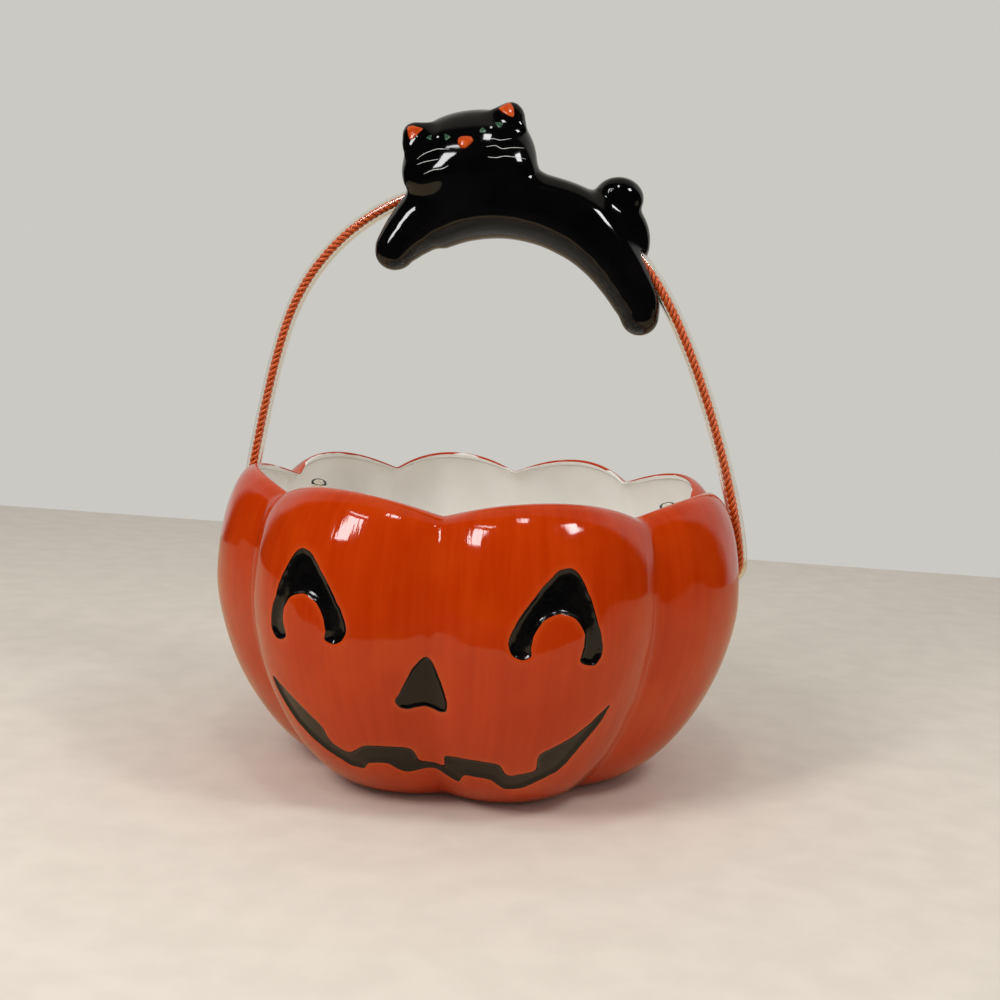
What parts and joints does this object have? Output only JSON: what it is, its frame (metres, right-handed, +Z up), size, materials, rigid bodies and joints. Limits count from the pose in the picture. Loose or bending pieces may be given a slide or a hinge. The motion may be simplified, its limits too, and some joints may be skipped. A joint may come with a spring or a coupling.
{
  "type": "pumpkin candy bowl",
  "caption": "Lobed glazed bowl with a carved pumpkin face, a clear tube handle that swings in holes in the side walls, and a glazed cat threaded on the handle.",
  "frame": {"origin": "middle of the flat base, on the surface that the bowl stands on", "axes": "+Z up, the pumpkin's face looks along -Y, +X is on the right of a viewer who faces it"},
  "size_m": [0.2064, 0.2, 0.2539],
  "materials": {
    "orange_glaze": "glossy orange glaze with brush streaks outside, warm white inside",
    "face_glaze": "glossy black glaze",
    "clear_vinyl": "clear glossy tube",
    "orange_cord": "tightly twisted matte cord",
    "cat_glaze": "glossy black glaze",
    "cat_orange_glaze": "glossy orange glaze"
  },
  "bodies": {
    "bowl": {"bowl": "orange_glaze", "left_eye_glaze": "face_glaze", "right_eye_glaze": "face_glaze", "nose_glaze": "face_glaze", "mouth_glaze": "face_glaze"},
    "handle": {"handle_tube": "clear_vinyl", "handle_cord": "orange_cord"},
    "cat": {"cat_body": "cat_glaze", "cat_nose": "cat_orange_glaze", "cat_left_inner_ear": "cat_orange_glaze", "cat_right_inner_ear": "cat_orange_glaze"}
  },
  "joints": [
    {"name": "handle_swing", "type": "hinge", "parent": "bowl", "child": "handle", "pos_m": [0, 0.0085, 0.076], "axis": [1, 0, 0], "range_deg": [-90, 4]},
    {"name": "cat_slide", "type": "hinge", "parent": "handle", "child": "cat", "pos_m": [-0.0058, 0.0085, 0.1407], "axis": [0, 1, 0], "range_deg": [-45, 8]}
  ]
}
